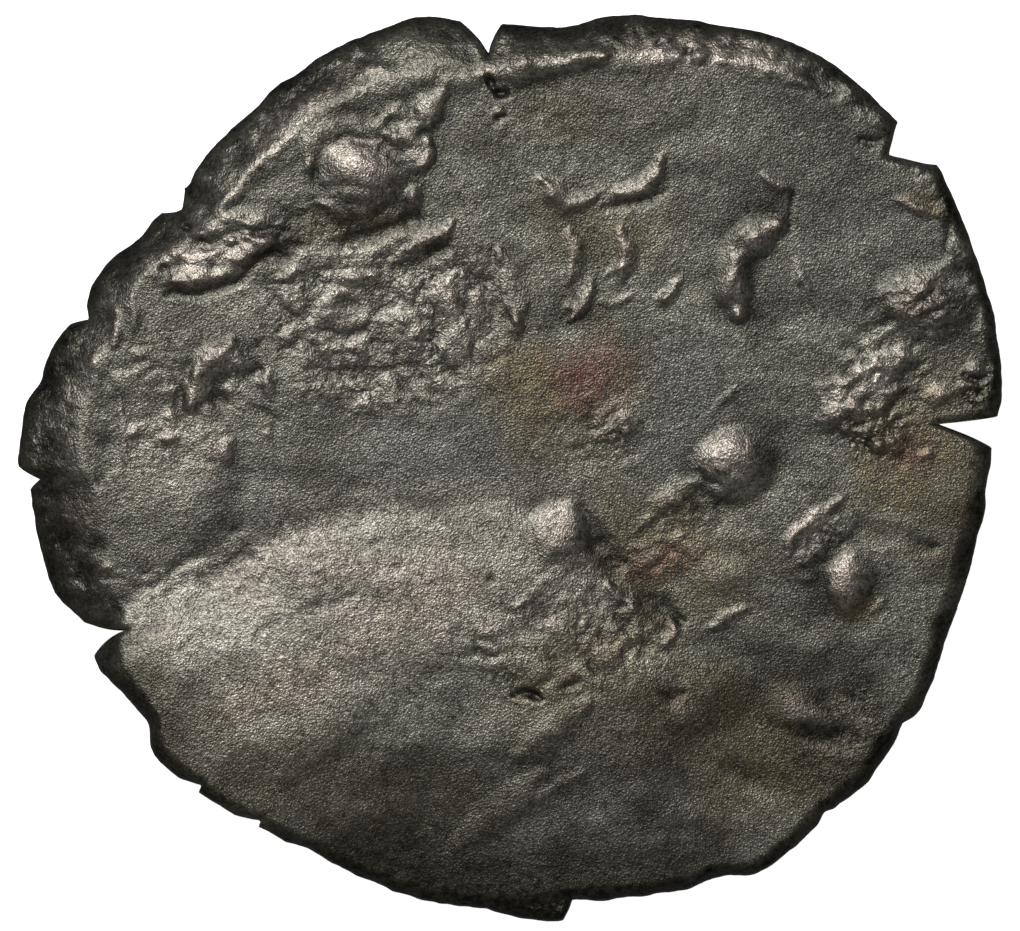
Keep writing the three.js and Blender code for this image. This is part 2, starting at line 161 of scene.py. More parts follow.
def lumps(x, y, cell, seed):
    # Sum of three turned lattices folded upwards at 0, over their heights' sum: rounded lumps with
    # sharp gaps between them.
    total = np.zeros(x.shape)
    for k in range(3):
        a = .6 + k
        u, v = x * math.cos(a) + y * math.sin(a), y * math.cos(a) - x * math.sin(a)
        total += (3 * abs(lattice(u, v, cell / 2 ** k, seed + k)) - 1) / 2 ** k
    return total / 1.75


def cubic(t, step, start, end, startSlope, endSlope):
    # Cubic from start to end over one step with the two slopes, t being the share of the step.
    return ((1 + 2 * t) * (1 - t) ** 2 * start + t * (1 - t) ** 2 * step * startSlope
            + t * t * (3 - 2 * t) * end + t * t * (t - 1) * step * endSlope)


def aroundKnots(knots, bearing):
    # Closed cubic through (bearing, value) knots, each slope taken from the two neighbours.
    at, value = (np.array(column, float) for column in zip(*knots))
    at = np.concatenate([at[-2:] - 360, at, at[:2] + 360])
    value = np.concatenate([value[-2:], value, value[:2]])
    slope = np.ones(len(at))
    slope[1:-1] = (value[2:] - value[:-2]) / (at[2:] - at[:-2])
    b = np.mod(bearing, 360)
    i = np.clip(np.searchsorted(at, b, side="right") - 1, 1, len(at) - 3)
    step = at[i + 1] - at[i]
    return cubic((b - at[i]) / step, step, value[i], value[i + 1], slope[i], slope[i + 1])


def flanRadius(bearing):
    # Radius of the ellipse at the bearing, times the edge's share there.
    a = np.radians(bearing)
    ellipse = 1 / np.hypot(np.cos(a) / (flan["width"] / 2), np.sin(a) / (flan["height"] / 2))
    return ellipse * aroundKnots(flan["edgeShares"], bearing)


def flanPoint(bearing, share):
    # Share of the way to the edge at a bearing. Each split moves the edge inwards by
    # depth (1 - u)^point, u being the way from its tip to its mouth, and its lips swell into it.
    a = np.radians(bearing)
    fade = smooth((share - 1 + flan["splitReach"]) / flan["splitReach"])
    out = np.zeros(a.shape)
    side = np.zeros(a.shape)
    for tip, depth, before, after, point, swell, lean in flan["splits"]:
        past = np.mod(bearing - tip + 180, 360) - 180
        p = np.clip(1 - np.where(past < 0, -past / before, past / after), 0, None) ** point
        out -= depth * p
        side += lean * p - np.sign(past) * swell * 4 * p * (1 - p)
    circle = flan["jagCircle"]
    out += flan["jag"] * crumbs(circle * np.cos(a), circle * np.sin(a), flan["jagSize"], seeds["jag"])
    r = share * flanRadius(bearing) + fade * out
    s = fade * side
    return r * np.cos(a) - s * np.sin(a), r * np.sin(a) + s * np.cos(a)


def edgeBearings(count):
    # Bearings at equal steps along the finished edge, with 360 at the end.
    fine = np.linspace(0, 360, mesh["fineSteps"] * count + 1)
    x, y = flanPoint(fine, np.ones(len(fine)))
    run = np.concatenate([[0], np.cumsum(np.hypot(np.diff(x), np.diff(y)))])
    return np.interp(np.linspace(0, run[-1], count + 1), run, fine)


mesh = {
    "squares": 288, "undersideSquares": 96, "rimRows": 6,
    "fineSteps": 40,         # steps of the edge measured for each point on it
    "edgeReach": 1.6,        # how far inside the edge the distance to it still matters, in mm
    "edgeChunk": 66,         # points of the edge taken at a time
}
rimCount = 4 * mesh["squares"]
rimBearings = edgeBearings(rimCount)
rimX, rimY = flanPoint(rimBearings[:-1], np.ones(rimCount))
middle = np.array([(rimX.min() + rimX.max()) / 2, (rimY.min() + rimY.max()) / 2])

print("relief of the struck face")
# Every place, half width and height below is in mm, measured from the middle of the flan.
back = {
    "line": [(-7.6, -3.1), (-6.8, -2.55), (-6.0, -2.1), (-5.5, -1.98), (-5.0, -1.83), (-4.5, -1.52),
             (-4.1, -1.22), (-3.7, -1.02), (-3.0, -.9), (-1.8, -.6), (-.7, -.57), (.5, -.62), (1.1, -.72),
             (1.5, -1.3), (1.87, -1.85), (2.5, -2.3), (3.2, -2.6), (4.2, -3.0), (5.3, -3.7)],
    "rise": 2.4, "tall": .25, "crease": .12, "run": 5.0, "fall": .48,
    "bandAt": .65, "bandReach": 1.5, "band": .34,            # the paler band below the line: rubbing, and a painted highlight on its lit slope
    "fading": [(-4.5, 3.5, .3), (1.9, 2.2, .55)],            # start, width and share of the fall to the right
}
# Raised lines: path, half width, height, and how much wider the left and right flanks are.
ridges = [
    # crest inside the bevel, upper left
    ([(-4.9, 4.37), (-4.28, 5.08), (-3.65, 5.8), (-3.17, 6.22), (-2.52, 6.42), (-1.87, 6.53), (-1.38, 6.62)],
     .2, .06, 1.2, 2),
    ([(-2.9, 6.5), (-2.6, 6.68), (-2.2, 6.72)], .18, .05, 1, 1),
    ([(-1.2, 6.46), (-.75, 6.52), (-.45, 6.6)], .2, .05, 1, 1),
    # frame of the leaf-shaped boss and the lobes beside it
    ([(-3.42, 5.0), (-3.35, 5.3), (-3.2, 5.55), (-2.95, 5.7), (-2.6, 5.75), (-2.2, 5.7), (-1.95, 5.5)],
     .2, .06, 1.2, 1),
    ([(-1.1, 6.4), (-1.2, 6.15), (-1.3, 5.8)], .12, .06, .6, 1.4),
    ([(-1.35, 5.52), (-1.3, 5.3), (-1.42, 5.1), (-1.6, 5.02)], .1, .06, .6, 1.4),
    ([(-3.2, 4.42), (-2.8, 4.3), (-2.3, 4.4), (-1.95, 4.6)], .14, .04, 1.2, .8),
    # lumpy ridge and wrinkles below the bevel
    ([(-5.6, 3.12), (-5.2, 3.2), (-4.85, 3.36), (-4.45, 3.6), (-4.0, 3.8)], .38, .15, 1.2, .7),
    ([(-5.65, 3.85), (-5.6, 3.65), (-5.45, 3.5), (-5.15, 3.52), (-4.9, 3.65)], .14, .05, 1, 1),
    ([(-5.4, 3.98), (-5.0, 4.02), (-4.6, 4.14), (-4.25, 4.12), (-3.85, 4.08)], .2, .08, 1.2, .9),
    ([(-4.2, 3.62), (-3.9, 3.74), (-3.6, 3.88)], .06, .03, 1, 1),
    ([(-1.7, 3.62), (-1.5, 3.78), (-1.2, 3.85), (-1.0, 4.05)], .15, .08, 1.2, .7),
    # banks inside the upper bevel
    ([(-.3, 6.6), (.1, 6.74), (.6, 6.88), (1.1, 6.94), (1.5, 6.9)], .5, .13, 1, .7),
    ([(1.5, 6.9), (2.0, 6.86), (2.5, 6.86), (2.85, 6.9)], .26, .05, 1, 1),
    ([(3.6, 6.78), (4.1, 6.74), (4.6, 6.72), (4.95, 6.5)], .26, .05, 1, 1),
    # two rows of shallow marks
    ([(.5, 4.82), (.75, 4.58), (1.05, 4.45), (1.42, 4.55)], .24, .085, 1, .8),
    ([(1.82, 4.6), (2.15, 4.68), (2.42, 4.88), (2.55, 5.2)], .22, .085, 1, .7),
    ([(.97, 3.95), (1.04, 3.52), (.98, 3.1)], .2, .07, 1.2, .8),
    ([(1.8, 3.98), (1.9, 3.52), (1.85, 3.1)], .2, .06, 1.2, .8),
    ([(1.4, 3.12), (1.3, 2.72), (1.02, 2.45)], .13, .075, .7, 1.3),
    ([(1.5, 2.82), (1.75, 2.75), (2.0, 2.85)], .08, .035, 1, 1),
    ([(2.55, 2.8), (2.7, 2.95), (2.87, 3.2)], .1, .045, 1.3, .8),
    ([(1.6, 3.22), (1.75, 3.33), (1.95, 3.33)], .07, .025, 1, 1),
    ([(4.52, 4.08), (4.2, 3.98), (3.92, 3.72), (3.76, 3.35), (3.74, 2.95), (3.84, 2.55)], .34, .14, 1, 1),
    ([(4.25, 4.93), (4.4, 4.8), (4.7, 4.7)], .1, .06, 1, 1),
    ([(4.74, 3.5), (4.85, 3.15), (5.2, 2.55)], .08, .04, 1.2, .8),
    ([(-.18, 3.6), (-.06, 3.2), (.04, 2.85), (.1, 2.45)], .24, .07, 1.2, .9),
    # right of the field
    ([(6.5, 4.5), (6.85, 4.32), (7.2, 4.18)], .13, .055, 1, .8),
    ([(7.5, 3.55), (7.15, 3.32), (6.7, 3.08)], .1, .045, 1, 1),
    ([(5.3, .85), (5.6, 1.2), (6.05, 1.6), (6.6, 1.85)], .46, .11, 1.1, 1.2),
    ([(3.35, .9), (3.55, 1.1), (3.75, 1.3)], .1, .025, 1, 1),
    ([(2.3, -.9), (2.6, -.62), (2.9, -.38), (3.1, -.25)], .24, .05, 1.2, .9),
    ([(4.62, -1.5), (4.68, -1.25), (4.98, -.95), (5.3, -.72), (5.58, -.52)], .15, .045, 1, 1),
    ([(5.58, -.52), (5.7, -.95), (5.45, -1.3)], .12, .025, 1, 1),
    ([(4.62, -1.5), (4.75, -1.8), (5.1, -1.88)], .1, .035, 1, 1),
    ([(6.0, -2.5), (6.15, -2.35), (6.3, -2.2)], .07, .03, 1, 1),
    ([(3.35, -2.68), (3.65, -2.5), (4.0, -2.35)], .12, .045, 1, 1),
    # the animal's head and back
    ([(1.65, -1.98), (1.9, -2.15), (2.1, -2.42)], .13, .055, 1, 1),
    ([(.05, -2.32), (.45, -2.03), (.65, -1.85), (1.0, -1.6), (1.3, -1.45)], .13, .025, 1, 1),
    ([(2.72, -2.5), (2.78, -2.75), (2.55, -2.98)], .08, .05, 1, 1),
    ([(.45, -5.55), (.8, -5.3), (1.25, -5.08)], .12, .025, 1, 1),
    ([(.1, -4.85), (.7, -4.45), (1.25, -3.95)], .32, .04, 1, 1),
    ([(-.9, -6.3), (-.2, -5.8), (.5, -5.2)], .35, .03, 1, 1),
    # left of the field
    ([(-6.55, 1.1), (-6.5, .6), (-6.55, .05)], .07, .035, 1, 1),
    ([(-6.6, 2.7), (-6.65, 2.05)], .1, .045, 1, 1),
    ([(-6.3, 2.9), (-6.35, 2.35)], .11, .045, 1, 1),
    ([(-5.36, 1.0), (-5.26, 1.4), (-5.08, 1.82), (-4.7, 2.15)], .26, .09, 1, 1.2),
    ([(-4.12, .65), (-3.97, .55)], .07, .035, 1, 1),
]
grooves = [
    ([(-3.1, 5.38), (-2.85, 5.52), (-2.55, 5.52), (-2.2, 5.4), (-1.98, 5.2)], .1, -.02, 1, 1),
    ([(-3.3, 4.95), (-3.28, 4.78), (-3.1, 4.68), (-2.7, 4.74), (-2.3, 4.7)], .1, -.04, 1, 1),
    ([(-5.75, 2.9), (-5.2, 2.95), (-4.75, 3.12), (-4.25, 3.4)], .15, -.05, 1, 1),
    ([(5.85, 5.47), (6.1, 5.42), (6.4, 5.45)], .08, -.16, 1, 1),
    ([(-4.3, 3.5), (-3.8, 3.55), (-3.45, 3.75)], .16, -.05, 1, 1),
    ([(-1.9, 3.42), (-1.5, 3.5), (-1.1, 3.65)], .13, -.04, 1, 1),
    ([(5.1, 6.35), (5.35, 6.25), (5.6, 6.3)], .06, -.04, 1, 1),
    ([(4.8, 4.65), (4.73, 4.3), (4.72, 3.95)], .06, -.035, 1, 1),
    ([(1.6, 4.38), (2.1, 4.45), (2.6, 4.6)], .12, -.03, 1, 1),
    ([(7.33, 4.6), (7.38, 4.1), (7.34, 3.6)], .09, -.07, 1, 1),
    ([(7.65, 1.58), (7.85, 1.5), (8.05, 1.58)], .09, -.14, 1, 1),
    ([(3.15, 0), (3.25, -.2), (3.5, -.3)], .08, -.035, 1, 1),
    ([(5.2, -1.5), (5.55, -1.25), (5.95, -1.12), (6.5, -1.2), (7.1, -1.35)], .3, -.035, 1, 1.3),
    ([(1.15, -.7), (1.4, -1.05), (1.6, -1.5), (1.9, -1.85), (2.5, -2.2), (2.9, -2.6)], .26, -.05, 1, 1),
    ([(-.65, -3.02), (-.4, -3.15), (-.15, -3.08)], .07, -.05, 1, 1),
    ([(-.5, -2.86), (-.15, -2.93)], .06, -.035, 1, 1),
    ([(.08, -3.85), (.3, -3.8), (.55, -3.9)], .1, -.13, 1, 1),
    ([(.9, -3.68), (1.25, -3.58)], .09, -.05, 1, 1),
    ([(1.4, -3.25), (1.5, -3.5)], .07, -.04, 1, 1),
    ([(2.5, -3.78), (2.75, -3.85), (2.95, -3.75)], .12, -.05, 1, 1),
    ([(-4.2, -2.75), (-3.4, -2.45), (-2.6, -2.15)], .18, -.018, 1, 1),
    ([(-6.85, 1.5), (-6.85, .9), (-6.88, .3), (-6.9, -.25)], .34, -.03, 1, 1),
    ([(-5.4, 1.75), (-5.5, 1.3), (-5.52, .9), (-5.45, .6)], .14, -.025, 1, 1),
    ([(-4.3, 1.0), (-4.02, .85), (-3.93, .6)], .1, -.03, 1, 1),
    ([(-5.75, .4), (-5.35, .2), (-5.0, .12)], .16, -.02, 1, 1),
    ([(-4.98, 1.3), (-4.7, .55), (-4.57, -.43), (-4.85, -1.15), (-5.68, -1.7)], .3, -.025, 1, 1),
    ([(-7.0, -1.82), (-6.5, -1.88)], .07, -.02, 1, 1),
]
# Mounds and hollows: place, half sizes, turn in degrees, height, flat share of the top.
mounds = [
    ((-2.5, 4.95), (.9, .72), -14, .15, 0),
    ((-2.72, 4.45), (.6, .4), 8, .03, .25),
    ((-2.3, 4.8), (1.15, .9), 15, .02, .4),
    ((-1.75, 5.6), (.34, .3), 30, .08, 0),
    ((-1.9, 5.95), (.34, .2), 0, .05, 0),
    ((-1.42, 5.95), (.28, .4), -10, .09, 0),
    ((-1.55, 5.3), (.28, .42), -20, .06, .2),
    ((-2.4, 3.88), (.9, .24), 14, -.05, .2),
    ((-1.65, 4.12), (.3, .2), 0, -.05, 0),
    ((-1.6, 4.5), (.2, .24), 0, .08, 0),
    ((-5.12, 3.92), (.17, .13), 0, .06, 0),
    ((-4.7, 3.82), (.15, .11), 0, .04, 0),
    ((-4.42, 3.87), (.18, .09), 10, .04, 0),
    ((-5.37, 4.07), (.1, .1), 0, -.18, 0),
    ((-5.85, 3.35), (.12, .1), 0, -.06, 0),
    ((-3.75, 3.25), (.28, .13), 25, .05, 0),
    ((-2.6, 3.15), (.3, .16), 20, .05, 0),
    ((-2.85, 2.93), (.2, .12), 0, .04, 0),
    ((3.2, 6.92), (.24, .18), 0, .06, 0),
    ((-.33, 6.48), (.2, .1), -60, -.14, 0),
    ((-.16, 6.27), (.18, .1), -15, -.14, 0),
    ((-.12, 5.88), (.15, .08), 0, -.05, 0),
    ((-.15, 5.98), (.14, .09), 0, .05, 0),
    ((2.5, 7.15), (.14, .08), 0, -.08, 0),
    ((3.0, 7.0), (.08, .14), 0, -.06, 0),
    ((2.35, 7.35), (.12, .09), 0, -.05, 0),
    ((1.0, 2.67), (.16, .14), 0, .045, 0),
    ((2.58, 2.85), (.2, .18), 0, .045, 0),
    ((4.78, 3.15), (.12, .14), 0, .025, 0),
    ((.06, 2.35), (.2, .25), 0, .05, 0),
    ((6.9, 2.78), (.85, .75), -10, .13, .1),
    ((6.05, .68), (.6, .48), 0, .07, 0),
    ((1.7, .68), (.5, .36), 0, .04, 0),
    ((6.33, .36), (.34, .22), 10, .05, .1),
    ((7.0, .2), (.18, .12), 0, .025, 0),
    ((7.2, 1.2), (.28, .22), 0, .06, 0),
    ((3.75, .05), (.76, .74), 0, .12, .2),
    ((3.6, .25), (.75, .6), 40, .03, 0),
    ((5.1, -1.25), (.5, .62), -35, .03, .5),
    ((5.68, -1.95), (.46, .7), 5, .12, .1),
    ((3.6, -1.75), (.7, .4), 0, .03, 0),
    ((.82, -1.05), (.6, .62), 30, .05, .5),
    ((1.9, -2.32), (.13, .09), 0, -.06, 0),
    ((-.3, -1.85), (.11, .09), 0, -.035, 0),
    ((-3.1, -4.35), (1.6, .8), 28, .03, 0),
    ((3.5, -3.75), (1.0, .6), 20, .035, 0),
    ((4.85, -4.05), (.85, .5), -30, .05, 0),
    ((3.0, -4.2), (.5, .3), 0, .02, 0),
    ((5.3, -4.5), (.9, .32), -10, -.045, 0),
    ((4.1, -5.2), (.9, .36), -30, -.03, 0),
    ((-6.2, 1.95), (.22, .16), 0, .045, 0),
    ((-7.0, 1.8), (.16, .22), 0, .035, 0),
    ((-4.75, 1.8), (.45, .34), -20, .06, .2),
    ((-4.9, 1.15), (.3, .2), 0, -.035, 0),
    ((-4.3, 1.6), (.2, .16), 20, -.05, 0),
    ((-4.1, 1.4), (.16, .32), 20, .045, 0),
    ((-5.7, .8), (.16, .22), 0, .03, 0),
    ((-5.75, .47), (.2, .13), 0, .045, 0),
    ((-6.33, .55), (.12, .1), 0, .045, 0),
    ((-4.78, .3), (.16, .3), 0, .045, 0),
    ((-5.2, -.6), (.9, .8), -30, .03, .2),
    ((-6.9, -1.3), (.26, .26), 0, -.03, 0),
    ((-6.8, -1.65), (.16, .1), 0, .03, 0),
]
# Crumbled ground: place, half sizes, turn, height of the crumbs, size of the crumbs.
crumbled = [
    ((-2.1, 2.4), (2.8, 1.9), 5, .03, .42),
    ((.9, -2.95), (2.3, 1.1), 2, .018, .36),
    ((1.9, -2.5), (1.2, .9), -30, .014, .3),
    ((-3.0, 4.1), (2.4, .7), 8, .015, .4),
    ((6.5, 1.6), (1.3, 2.2), 0, .014, .3),
    ((6.9, 2.8), (.8, .7), 0, .035, .3),
    ((6.05, 1.4), (1.2, .7), 41, .035, .34),
    ((6.05, .65), (.7, .6), 0, .03, .3),
    ((7.8, 1.3), (.5, .6), 0, .04, .3),
    ((1.7, .7), (.5, .4), 0, .03, .22),
    ((3.65, .1), (.7, .7), 0, .009, .3),
    ((5.65, -1.9), (.5, .6), 0, .007, .24),
    ((-5.0, -1.6), (2.2, .6), 22, .012, .3),
    ((2.6, -1.2), (1.6, .8), 30, .016, .3),
    ((-3.5, -1.9), (3.2, 1.0), 10, .006, .3),
    ((-5.0, 3.6), (1.6, .8), 20, .012, .3),
    ((1.5, .8), (1.5, 1.2), 0, .007, .3),
    ((-1.8, 5.6), (1.0, .8), 0, .014, .22),
    ((5.15, -1.2), (.7, .6), 30, .022, .26),
    ((-5.9, 1.2), (1.5, 1.6), 0, .01, .3),
    ((.3, 5.6), (1.0, 1.4), 10, .008, .26),
    ((-4.75, 1.65), (.6, .6), 0, .02, .24),
]
ground = {
    "waveLength": 4.5, "waveHeight": .01,       # long rise and fall of the field
    "lumpSize": .8, "lumpHeight": .02,
    "warpSize": .45, "warp": .1,                # how far the marks are pushed out of true
    "unevenSize": .3, "uneven": .8,
    "lineLeft": .62, "lineSpread": 1.2,         # share of a line's height left by wear, and its widening
    "lineEnds": .25, "endWidth": .45,           # share of a line that tapers, and its width at the tips
    "bevelCrumbs": .12, "bevelCell": .32,
    "crumbledFlat": .4,                         # share of a crumbled place at full height
    "fullyBroken": .05,                         # height of crumbs at which the ground is all broken
    "patchSize": .6, "patchy": 1.6,             # patches of finer and coarser crumbs
}


def smoothPath(places, steps=6):
    # Cubic curve through the places, each slope taken from the neighbours.
    p = np.array(places, float)
    slope = np.gradient(p, axis=0)
    t = np.linspace(0, len(p) - 1, (len(p) - 1) * steps + 1)
    i = np.minimum(t.astype(int), len(p) - 2)
    return cubic((t - i)[:, None], 1, p[i], p[i + 1], slope[i], slope[i + 1])


def nearest(x, y, path):
    # Distance to the path, side of it (1 left, -1 right) and share of the path there.
    distance = np.full(x.shape, np.inf)
    side = np.ones(x.shape)
    share = np.zeros(x.shape)
    for i, (start, end) in enumerate(zip(path[:-1], path[1:])):
        run = end - start
        fromX, fromY = x - start[0], y - start[1]
        t = np.clip((fromX * run[0] + fromY * run[1]) / (run @ run), 0, 1)
        offX, offY = fromX - t * run[0], fromY - t * run[1]
        d = np.hypot(offX, offY)
        near = d < distance
        distance = np.where(near, d, distance)
        side = np.where(near, np.where(run[0] * offY - run[1] * offX < 0, -1, 1), side)
        share = np.where(near, (i + t) / (len(path) - 1), share)
    return distance, side, share


def lineHeight(x, y, path, wide, tall, left, right):
    # tall times hill(distance / half width), the half width shrinking towards both ends.
    distance, side, share = nearest(x, y, smoothPath(path))
    taper = smooth(np.minimum(share, 1 - share) / ground["lineEnds"])
    width = ground["endWidth"] + (1 - ground["endWidth"]) * taper
    flank = wide * ground["lineSpread"] * np.where(side > 0, left, right) * width
    return tall * ground["lineLeft"] * hill(distance / flank)


def ellipseDistance(x, y, at, size, turn):
    # Distance from the place, measured in the turned ellipse of the two half sizes.
    a = math.radians(turn)
    u = ((x - at[0]) * math.cos(a) + (y - at[1]) * math.sin(a)) / size[0]
    v = ((y - at[1]) * math.cos(a) - (x - at[0]) * math.sin(a)) / size[1]
    return np.hypot(u, v)


def moundShape(x, y, at, size, turn, flat=0):
    # 1 over the flat share of the ellipse, then hill() of what is left of the way to its rim.
    return hill(np.clip(ellipseDistance(x, y, at, size, turn) - flat, 0, None) / (1 - flat))


def backHeight(x, y):
    # Rises from the line as tall (1 - (1 - t)^2), then falls as fall t^2 towards the lower edge.
    distance, side, _ = nearest(x, y, smoothPath(back["line"]))
    inside = -side * distance
    crease = back["crease"]
    eased = np.where(inside < crease, np.clip(inside + crease, 0, None) ** 2 / (4 * crease), inside)
    up = 1 - np.clip(1 - eased / back["rise"], 0, 1) ** 2
    down = np.clip((inside - back["rise"]) / back["run"], 0, 1) ** 2
    fading = 1 - sum(share * smooth((x - start) / over) for start, over, share in back["fading"])
    return back["tall"] * up * fading - back["fall"] * down


def relief(x, y):
    # The back; lines, mounds, two crossing waves, lumps and crumbs added up; how broken the ground is.
    wx = x + ground["warp"] * crumbs(x, y, ground["warpSize"], seeds["warpX"])
    wy = y + ground["warp"] * crumbs(x, y, ground["warpSize"], seeds["warpY"])
    k = 2 * math.pi / ground["waveLength"]
    crossing = np.sin(k * (x + .4 * y)) + np.sin(k * (.9 * y - .5 * x) + 1)
    marks = np.zeros(x.shape)
    for line in ridges + grooves:
        marks += lineHeight(wx, wy, *line)
    marks *= 1 + ground["uneven"] * crumbs(x, y, ground["unevenSize"], seeds["uneven"])
    for at, size, turn, tall, flat in mounds:
        marks += tall * moundShape(wx, wy, at, size, turn, flat)
    lumpy = ground["lumpHeight"] * crumbs(x, y, ground["lumpSize"], seeds["ground"])
    marks += ground["waveHeight"] * crossing / 2 + lumpy
    broken = np.zeros(x.shape)
    for i, (at, size, turn, tall, cell) in enumerate(crumbled):
        here = moundShape(x, y, at, size, turn, ground["crumbledFlat"])
        marks += tall * lumps(wx, wy, cell, seeds["lumps"] + i) * here
        patchy = 1 + ground["patchy"] * crumbs(x, y, ground["patchSize"], seeds["patches"] + i)
        broken = np.maximum(broken, here * patchy * tall / ground["fullyBroken"])
    return backHeight(wx, wy), marks, broken


def edgeDistance(x, y):
    # Distance to the nearest point of the finished edge, or infinity beyond its reach.
    best = np.full(x.size, np.inf)
    flatX, flatY = x.ravel(), y.ravel()
    close = flanRadius(np.degrees(np.arctan2(flatY, flatX))) - np.hypot(flatX, flatY) < mesh["edgeReach"]
    cx, cy = flatX[close], flatY[close]
    near = np.full(cx.size, np.inf)
    for start in range(0, rimCount, mesh["edgeChunk"]):
        part = slice(start, start + mesh["edgeChunk"])
        d = (cx[:, None] - rimX[part]) ** 2 + (cy[:, None] - rimY[part]) ** 2
        near = np.minimum(near, d.min(axis=1))
    best[close] = np.sqrt(near)
    return best.reshape(x.shape)


def faceHeight(x, y):
    # Bevel (1 - (1 - t)^power) from shoulder to field, less the rounded lip, plus relief and crumbs.
    bearing = np.degrees(np.arctan2(y, x))
    inside = edgeDistance(x, y)
    t = np.clip((flanRadius(bearing) - np.hypot(x, y)) / aroundKnots(flan["bevelWidths"], bearing), 0, 1)
    shoulder = aroundKnots(flan["shoulders"], bearing)
    bevel = shoulder + (flan["field"] - shoulder) * (1 - (1 - t) ** flan["bevelPower"])
    lip = flan["lipFall"] * (1 - np.minimum(inside / flan["lipRadius"], 1)) ** 2
    rough = ground["bevelCrumbs"] * crumbs(x, y, ground["bevelCell"], seeds["bevel"]) * (1 - t)
    form, struck, broken = relief(x, y)
    struck *= smooth(inside / flan["reliefFade"])
    return bevel - lip + form + rough + struck, form + struck + rough, np.maximum(broken, 1 - t)


underside = {
    "restRadius": 1.5,       # radius of the flat place in the middle
    "pitDepth": .03, "pitSize": .5,
    "hollowDepth": .07,
    # place, half sizes, turn in degrees, share of the depth
    "hollows": [((-3.4, 2.3), (2.3, 1.3), 40, 1), ((3.3, 3.0), (2.1, 1.2), -35, .8),
                ((3.7, -2.9), (2.2, 1.2), 45, 1), ((-3.1, -3.2), (2.2, 1.1), -40, .7)],
}


def undersideHeight(x, y):
    # Flat in the middle, hollowed round it and lifted towards the edge.
    r = np.hypot(x, y)
    inside = flanRadius(np.degrees(np.arctan2(y, x))) - r
    lift = flan["foot"] * (1 - smooth(inside / flan["footWidth"]))
    hollow = sum(share * moundShape(x, y, at, size, turn) for at, size, turn, share in underside["hollows"])
    away = smooth((r - underside["restRadius"]) / underside["restRadius"])
    pits = .5 + .5 * crumbs(x, y, underside["pitSize"], seeds["pits"])
    return lift + (underside["hollowDepth"] * hollow + underside["pitDepth"] * pits) * away


print("mesh of the coin")


def gridPoints(squares):
    # Rings of a square grid become rings of the flan; steps round a ring are equal steps of the edge.
    line = np.linspace(-1, 1, squares + 1)
    a, b = np.meshgrid(line, line)
    share = np.maximum(abs(a), abs(b))
    wide = abs(a) >= abs(b)
    safeA, safeB = np.where(a == 0, 1, a), np.where(b == 0, 1, b)
    turn = np.where(wide, np.where(a > 0, 0, 4) + b / safeA, np.where(b > 0, 2, 6) - a / safeB)
    bearing = np.interp(np.mod(turn / 8, 1) * rimCount, np.arange(rimCount + 1), rimBearings)
    return flanPoint(bearing, share)


def outerRing(squares):
    # Vertex numbers round the grid, from the middle of its right side towards +Y.
    index = np.arange((squares + 1) ** 2).reshape(squares + 1, -1)
    ring = np.concatenate([index[:-1, -1], index[-1, :0:-1], index[:0:-1, 0], index[0, :-1]])
    return np.roll(ring, -squares // 2)


def gridTriangles(squares, upwards):
    # Two triangles for each square, split towards the square's outer corner.
    index = np.arange((squares + 1) ** 2).reshape(squares + 1, -1)
    ring = np.stack([index[:-1, :-1], index[:-1, 1:], index[1:, 1:], index[1:, :-1]], -1)
    half = np.arange(squares) + .5 - squares / 2
    other = (half[:, None] * half[None, :] < 0)[..., None]
    ring = np.where(other, np.roll(ring, -1, axis=-1), ring).reshape(-1, 4)
    triangles = np.concatenate([ring[:, [0, 1, 2]], ring[:, [2, 3, 0]]])
    return triangles if upwards else triangles[:, ::-1]


def inset(x, y, by):
    # Drawn in towards the middle, by the full amount at the half width of the ellipse.
    scale = 1 - by / (flan["width"] / 2)
    return x * scale, y * scale


